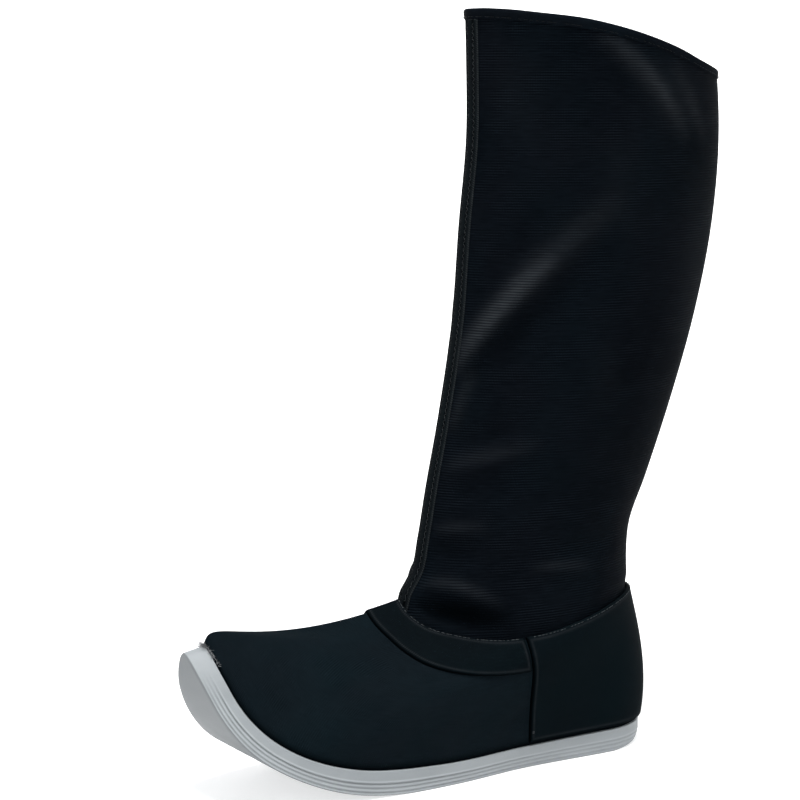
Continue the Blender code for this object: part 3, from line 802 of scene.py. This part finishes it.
def build_insole(finish):
    angles = RING + math.pi
    rings = []
    for turn in np.linspace(0, math.pi / 2, INSOLE_STEPS):
        rounding = INSOLE_ROUND * (1 - math.cos(turn))
        along, across = outline(angles, FEATHER_INSET + WALL + INSOLE_INSET + rounding)
        along = np.minimum(along, INSOLE_LENGTH - rounding)
        level = GAP + INSOLE_THICK * math.sin(turn)
        rings.append(bend(along, across, SOLE_PLAN.at("thick", along) + level))
    points, faces = capped(np.array(rings))
    add_piece("insole_board", points, faces, finish, "insole")


def tube_rings(centre, out, size, lift):
    """Rings of points round lines of points, with the radius and the lift of each ring."""
    side = unit(np.cross(np.gradient(centre, axis=1), out))
    turn = np.arange(STITCH_SIDES) * 2 * math.pi / STITCH_SIDES
    spoke = np.cos(turn)[:, None] * side[..., None, :] + np.sin(turn)[:, None] * out[..., None, :]
    offset = lift[:, None, None] * out[..., None, :] + size[:, None, None] * spoke
    return centre[..., None, :] + offset


def add_tubes(name, rings, finish):
    """Many short tubes with closed ends, as one piece."""
    count, steps = rings.shape[:2]
    sides = quads(steps, STITCH_SIDES, closed_columns=True)
    size = steps * STITCH_SIDES
    first = np.arange(count)[:, None, None] * size
    faces = (sides[None] + first).reshape(-1, 4).tolist()
    ends = np.stack([np.arange(STITCH_SIDES)[::-1], np.arange(STITCH_SIDES) + size - STITCH_SIDES])
    faces += (ends[None] + first).reshape(-1, STITCH_SIDES).tolist()
    add_piece(name, rings.reshape(-1, 3), faces, finish)


def stitch_row(points, normals, length, pitch, thick):
    """Rings round each stitch of a row along a line on the cloth."""
    run = run_along(points)
    shares = np.linspace(0, 1, len(STITCH_SHAPE))
    starts = np.arange(pitch / 2, run[-1] - length * (1 + STITCH_SPREAD), pitch)
    draw = np.random.default_rng(STITCH_SEED)
    spread = draw.uniform(-1, 1, len(starts)) * STITCH_SPREAD
    where = starts[:, None] + length * (1 + spread[:, None]) * shares
    if len(starts) > 1:
        where = where[draw.uniform(0, 1, len(starts)) > STITCH_LOST]

    def along(values):
        return np.stack([np.interp(where, run, values[:, axis]) for axis in range(3)], -1)

    return tube_rings(along(points), along(normals), *np.array(STITCH_SHAPE).T * thick / 2)


def add_stitches(name, rows, finish, length=STITCH_LENGTH, pitch=STITCH_PITCH, thick=THREAD):
    """Rows of stitches as one piece; a row is its angles, rises and offsets."""
    groups = []
    for angle, rise, offset in rows:
        angle, rise, offset = np.broadcast_arrays(angle, rise, offset)
        points, normals = cloth_point(angle, rise, offset), upper_normal(angle, rise)
        groups.append(stitch_row(points, normals, length, pitch, thick))
    add_tubes(name, np.concatenate(groups), finish)


def build_tape_stitches(finish):
    rises = np.linspace(*TAPE_ENDS, TAPE_POINTS)
    offset = tuck(rises) + TAPE_THICK - TAPE_SINK
    rows = [(front_angle(rises, side * TAPE_STITCH), rises, offset) for side in (-1, 1)]
    add_stitches("tape_stitches", rows, finish)


def build_zigzag(finish):
    """The thread that goes from side to side across the tape's sewn lines."""
    low, high = TAPE_ENDS
    count = int(SHAFT_LENGTH * (high - low) / ZIGZAG_STEP)
    turns = np.linspace(low, high, count)
    ends = np.where(np.arange(count) % 2, ZIGZAG_REACH, -ZIGZAG_REACH)
    share = np.linspace(0, 1, len(STITCH_SHAPE))
    rise, across = (line[:-1, None] + np.diff(line)[:, None] * share for line in (turns, ends))
    size, lift = np.array(STITCH_SHAPE).T * THREAD / 2
    threads = []
    for side in (-1, 1):
        angle = front_angle(rise, side * TAPE_STITCH + across)
        centre = cloth_point(angle, rise, tuck(rise) + TAPE_THICK)
        threads.append(tube_rings(centre, upper_normal(angle, rise), size, lift))
    add_tubes("tape_zigzag", np.concatenate(threads), finish)


def build_hidden_stitches(finish):
    rises = np.linspace(*BACK_ENDS, TAPE_POINTS)
    rows = [(BACK + side * front_angle(rises, BACK_STITCH), rises, tuck(rises)) for side in (-1, 1)]
    add_stitches("back_stitches", rows, finish)
    around = np.linspace(-math.pi, math.pi, COLLAR_POINTS)
    rise = 2 - BINDING_STITCH / SHAFT_LENGTH
    add_stitches("collar_stitches", [(around, rise, BINDING_OUT)], finish)


def build_panel_stitches(finish):
    """Stitches along the tops of the band and the counter, and the counter's sewn bars."""
    span = np.linspace(-TOP_SPAN, TOP_SPAN, PANEL_POINTS)
    angle = band_end(1.0) * span
    rows = [(angle, band_rises(angle, 1 - PANEL_STITCH / BAND_HEIGHT), PANEL_GAP + BAND_THICK)]
    rise = PANEL_TOP - PANEL_STITCH / COUNTER_HEIGHT
    offset = PANEL_GAP + COUNTER_THICK
    rows.append((BACK + (BACK - counter_edge(rise)) * span, rise, offset))
    add_stitches("panel_stitches", rows, finish, TOP_LENGTH, TOP_PITCH)

    levels = BAR_RISE + np.array(BAR_ROWS)
    behind = np.radians(np.linspace(*BAR_REACH, BAR_POINTS))
    ends = list(zip(counter_edge(levels), levels))
    rows = [(side * (edge + behind), level, offset) for side in (-1, 1) for edge, level in ends]
    add_stitches("bar_tacks", rows, finish, BAR_LENGTH, BAR_PITCH, BAR_THICK)


def build_fray(finish):
    """Short loose ends of yarn along the vamp's cut edge, at both sides of the toe."""
    draw = np.random.default_rng(FRAY_SEED)
    side = np.sign(draw.uniform(-1, 1, FRAY_COUNT))
    aslant = draw.uniform(0, 1, FRAY_COUNT) ** FRAY_CROWD
    angle = np.radians(FRAY_ANGLE) * side * aslant
    rise = draw.uniform(*FRAY_RISE, FRAY_COUNT)
    root, out = upper_skin(angle, rise), upper_normal(angle, rise)
    down = unit(upper_skin(angle, 0.0) - upper_skin(angle, DOWN_STEP))
    aside = np.cross(down, out)
    length = draw.uniform(*FRAY_LENGTH, FRAY_COUNT) * (1 + FRAY_GROW * (1 - aslant))
    lean, lift, curl, drop = (draw.uniform(*span, FRAY_COUNT)[:, None] for span in FRAY_LEAN)
    way = drop * down + lean * aside + lift * out
    way *= (length / np.linalg.norm(way, axis=-1))[:, None]
    share = np.linspace(0, 1, FRAY_STEPS)[None, :, None]
    centre = root[:, None] + way[:, None] * share
    centre = centre + (curl * length[:, None] * aside)[:, None] * share**2
    size = np.linspace(1, FRAY_TIP, FRAY_STEPS) * FRAY_THICK / 2
    rings = tube_rings(centre, np.broadcast_to(out[:, None], centre.shape), size, 0 * size)
    add_tubes("toe_fray", rings, finish)


def node(tree, kind, inputs, **settings):
    """Adds a shader node; an input is a value or the output of another node."""
    made = tree.nodes.new("ShaderNode" + kind)
    for name, value in settings.items():
        setattr(made, name, value)
    for key, value in inputs.items():
        if isinstance(value, bpy.types.NodeSocket):
            tree.links.new(value, made.inputs[key])
        else:
            made.inputs[key].default_value = value
    return made.outputs


def times(tree, value, share, more=0.0):
    """A value times a share, and more."""
    return node(tree, "Math", {0: value, 1: share, 2: more}, operation="MULTIPLY_ADD")[0]


def ranged(tree, value, low, high, to_low=0.0, to_high=1.0):
    """A value between low and high, carried to another range."""
    return node(tree, "MapRange", {0: value, 1: low, 2: high, 3: to_low, 4: to_high})[0]


def stripes(tree, place, direction, pitch):
    """Waves between 0 and 1 across a direction of the cloth."""
    wave = tuple(2 * math.pi / pitch * part for part in direction)
    phase = node(tree, "VectorMath", {0: place, 1: wave}, operation="DOT_PRODUCT")["Value"]
    return times(tree, node(tree, "Math", {0: phase}, operation="SINE")[0], 0.5, 0.5)


def speckle(tree, place, sizes, detail=2.0):
    """Noise about 0.5 whose grains have these sizes along the three directions."""
    scale = tuple(1 / size for size in sizes)
    scaled = node(tree, "VectorMath", {0: place, 1: scale}, operation="MULTIPLY")[0]
    return node(tree, "TexNoise", {"Vector": scaled, "Scale": 1.0, "Detail": detail})[0]


def blend_colours(tree, share, low, high):
    made = node(tree, "ValToRGB", {"Fac": share})
    stops = made[0].node.color_ramp.elements
    stops[0].color, stops[1].color = (*low, 1.0), (*high, 1.0)
    return made[0]


def mixed(tree, share, colour, other, way="MIX"):
    """A colour with a share of another put over it."""
    return node(tree, "MixRGB", {0: share, 1: colour, 2: (*other, 1.0)}, blend_type=way)[0]


def marked(tree, name):
    """A value that a piece has at its points."""
    return node(tree, "Attribute", {}, attribute_name=name)["Fac"]


def object_places(tree):
    return node(tree, "TexCoord", {})["Object"]


def cloth_places(tree, level):
    """Cloth coordinates: round the boot and along the cloth, or round it and up if level."""
    uv = node(tree, "UVMap", {}, uv_map="cloth")[0]
    if not level:
        return uv
    up = node(tree, "SeparateXYZ", {0: object_places(tree)})[2]
    return node(tree, "CombineXYZ", {0: node(tree, "SeparateXYZ", {0: uv})[0], 1: up})[0]


def new_finish(name, shine):
    """A material and its tree, with its roughness and specular level set."""
    made = bpy.data.materials.new(name)
    made.use_nodes = True
    inputs = made.node_tree.nodes[SHADER].inputs
    inputs["Roughness"].default_value, inputs["Specular IOR Level"].default_value = shine
    return made, made.node_tree


def dress(tree, colour, relief, strength, depth, rough=None):
    """Gives a material's shader its colour, its relief and, where it varies, its roughness."""
    raised = node(tree, "Bump", {"Strength": strength, "Distance": depth, "Height": relief})[0]
    for name, value in (("Base Color", colour), ("Normal", raised), ("Roughness", rough)):
        if value is not None:
            tree.links.new(value, tree.nodes[SHADER].inputs[name])


def woven(name, weave):
    """Black cloth with ribs, yarns across them and slubs, with painted highlights and painted shade
    where its piece's marks say.
    """
    made, tree = new_finish(name, CLOTH_SHINE)
    place = cloth_places(tree, weave.level)
    turn, pitch, dotted = math.radians(weave.turn), weave.pitch, weave.dotted
    ribs = stripes(tree, place, (math.cos(turn), math.sin(turn), 0.0), pitch)
    yarns = stripes(tree, place, (math.sin(turn), -math.cos(turn), 0.0), pitch * YARN_PITCH)
    slubs = speckle(tree, place, (pitch * SLUB_LENGTH, pitch * SLUB_WIDTH, 1.0))
    cloud = speckle(tree, place, CLOUD_SIZES, FINE_DETAIL)
    patch = ranged(tree, speckle(tree, place, PATCH_SIZES), *PATCH_RANGE)
    dots = times(tree, ribs, times(tree, yarns, dotted, 1 - dotted))
    clear = times(tree, times(tree, dots, 1.0, (dotted / 2 - 1) / 2), patch)
    share = times(tree, clear, weave.contrast, times(tree, slubs, SLUB_SHARE, -weave.base))
    share = times(tree, cloud, CLOUD_SHARE, share)
    colour = blend_colours(tree, share, weave.dark, weave.light)
    tint = ranged(tree, speckle(tree, place, TINT_SIZES), *TINT_RANGE)
    colour = mixed(tree, tint, colour, TINT, "MULTIPLY")
    if weave.worn:
        # Painted highlights and painted shade, where the piece marks them
        streaks = ranged(tree, speckle(tree, place, STREAK_SIZES), *STREAK_RANGE)
        streaks = times(tree, streaks, times(tree, ribs, *CREST_HIGHLIGHT))
        colour = mixed(tree, times(tree, marked(tree, "highlight_mark"), streaks), colour, weave.worn)
        colour = mixed(tree, marked(tree, "shade"), colour, SHADE_COLOUR)
    relief = times(tree, yarns, YARN_RELIEF, ribs)
    relief = times(tree, relief, patch, times(tree, slubs, SLUB_RELIEF))
    rough = ranged(tree, slubs, 0.0, 1.0, *CLOTH_ROUGH)
    dress(tree, colour, relief, weave.bump, pitch * RIB_RELIEF, rough)
    return made


def foam():
    """Light cool-grey moulded foam, a little darker in its grooves and on its tread."""
    made, tree = new_finish("sole_foam", FOAM_SHINE)
    place = object_places(tree)
    grain, cloud = (speckle(tree, place, sizes, FINE_DETAIL) for sizes in (FOAM_GRAIN, FOAM_CLOUD))
    share = times(tree, cloud, FOAM_CLOUDED, times(tree, grain, FOAM_GRAINED, FOAM_BASE))
    colour = blend_colours(tree, share, FOAM_DARK, FOAM_LIGHT)
    for name, share, other in FOAM_MARKS:
        colour = mixed(tree, times(tree, marked(tree, name), share), colour, other)
    dress(tree, colour, grain, *FOAM_RELIEF, ranged(tree, cloud, 0.0, 1.0, *FOAM_ROUGH))
    return made


def thread(name, dark, light):
    """Waxed thread with its twist."""
    made, tree = new_finish(name, THREAD_SHINE)
    twist = stripes(tree, object_places(tree), TWIST_WAY, TWIST_PITCH)
    dress(tree, blend_colours(tree, twist, dark, light), twist, *THREAD_RELIEF)
    return made


def lining_cloth(name, colours, mapped):
    """Plain woven cotton for the inside, on cloth coordinates where its piece has them."""
    made, tree = new_finish(name, LINING_SHINE)
    place = cloth_places(tree, False) if mapped else object_places(tree)
    over = stripes(tree, place, (1.0, 0.0, 0.0), LINING_PITCH)
    weave = times(tree, over, stripes(tree, place, (0.0, 1.0, 0.0), LINING_PITCH))
    cloud = times(tree, speckle(tree, place, LINING_CLOUD, FINE_DETAIL), LINING_CLOUDED)
    colour = blend_colours(tree, times(tree, weave, LINING_WEAVE, cloud), *colours)
    dress(tree, colour, weave, *LINING_RELIEF)
    return made


def build_boot():
    shaft, twill, band, smooth, tape, binding = (woven(*cloth) for cloth in CLOTHS.items())
    lining = lining_cloth("lining_cotton", LINING_COLOURS, True)
    board = lining_cloth("insole_cotton", BOARD_COLOURS, False)

    rises = np.linspace(0.0, VAMP_TOP, VAMP_ROWS)
    add_wall("vamp_cloth", rises, 0 * rises, CLOTH_THICK, twill)
    rises = np.linspace(SHAFT_FOOT, 2.0, SHAFT_ROWS)
    add_wall("shaft_cloth", rises, tuck(rises), CLOTH_THICK, shaft)
    rises = np.concatenate([np.linspace(LINING_FOOT, SHAFT_FOOT, LINING_ROWS)[:-1], rises[1::2]])
    inside = np.full(len(rises), LINING_THICK / 2 - WALL)
    add_wall("lining", rises, inside, LINING_THICK, lining)
    build_counter(smooth)
    build_band(band)
    build_tape(tape)
    build_binding(binding)
    build_sole(foam())
    build_insole(board)
    hidden, dark, pale = (thread(name, *colours) for name, colours in THREADS.items())
    build_tape_stitches(pale)
    build_zigzag(dark)
    build_hidden_stitches(hidden)
    build_panel_stitches(pale)
    build_fray(thread("frayed_yarn", *FRAYED_YARN))


def build_stage():
    """A pale floor that sweeps up into a round wall, far enough out for any view."""
    turn = np.linspace(0, math.pi / 2, SWEEP_STEPS)
    wall = SWEEP_START + SWEEP_RADIUS
    reach = [0.0, SWEEP_START / 2, *(SWEEP_START + SWEEP_RADIUS * np.sin(turn)), wall]
    level = [0.0, 0.0, *(SWEEP_RADIUS * (1 - np.cos(turn))), SWEEP_HEIGHT]
    around = np.arange(SWEEP_SIDES) * 2 * math.pi / SWEEP_SIDES
    circle = np.stack([np.cos(around), np.sin(around), 0 * around], -1)
    points = [far * circle + [0, 0, up] for far, up in zip(reach, level)]
    mesh = bpy.data.meshes.new("floor")
    faces = quads(len(level), SWEEP_SIDES, closed_columns=True)
    mesh.from_pydata(np.concatenate(points).tolist(), [], faces.tolist())
    mesh.shade_smooth()
    made, tree = new_finish("pale_floor", FLOOR_SHINE)
    inputs = tree.nodes[SHADER].inputs
    inputs["Base Color"].default_value = FLOOR_COLOUR
    inputs["Emission Color"].default_value = GLOW_COLOUR
    inputs["Emission Strength"].default_value = FLOOR_GLOW
    mesh.materials.append(made)
    floor = bpy.data.objects.new("floor", mesh)
    bpy.context.scene.collection.objects.link(floor)


def place_and_aim(name, made, place, aim):
    """Puts a light or a camera in the scene, turned to what it looks at."""
    thing = bpy.data.objects.new(name, made)
    thing.location = place
    thing.rotation_euler = (Vector(aim) - Vector(place)).to_track_quat("-Z", "Y").to_euler()
    bpy.context.scene.collection.objects.link(thing)
    return thing


def build_light():
    world = bpy.data.worlds.new("studio")
    world.use_nodes = True
    inputs = world.node_tree.nodes["Background"].inputs
    inputs["Color"].default_value, inputs["Strength"].default_value = SKY_COLOUR, SKY
    bpy.context.scene.world = world
    for lamp in LAMPS:
        light = bpy.data.lights.new(lamp.name, "AREA")
        light.shape, light.size, light.energy = "DISK", lamp.size, lamp.power
        place_and_aim(lamp.name, light, lamp.place, lamp.aim)


def build_camera():
    """The photo's view: forward of the boot's left side, from a little above the calf."""
    lens = bpy.data.cameras.new("camera")
    lens.sensor_width, lens.lens = CAMERA_SENSOR, CAMERA_LENS
    turn = math.radians(CAMERA_TURN)
    away = Vector((math.sin(turn), math.cos(turn), 0)) * CAMERA_DISTANCE
    place = Vector((*CAMERA_AIM[:2], CAMERA_HEIGHT)) + away
    bpy.context.scene.camera = place_and_aim("camera", lens, place, CAMERA_AIM)


bpy.context.scene.view_settings.view_transform = "Standard"
build_boot()
build_stage()
build_light()
build_camera()
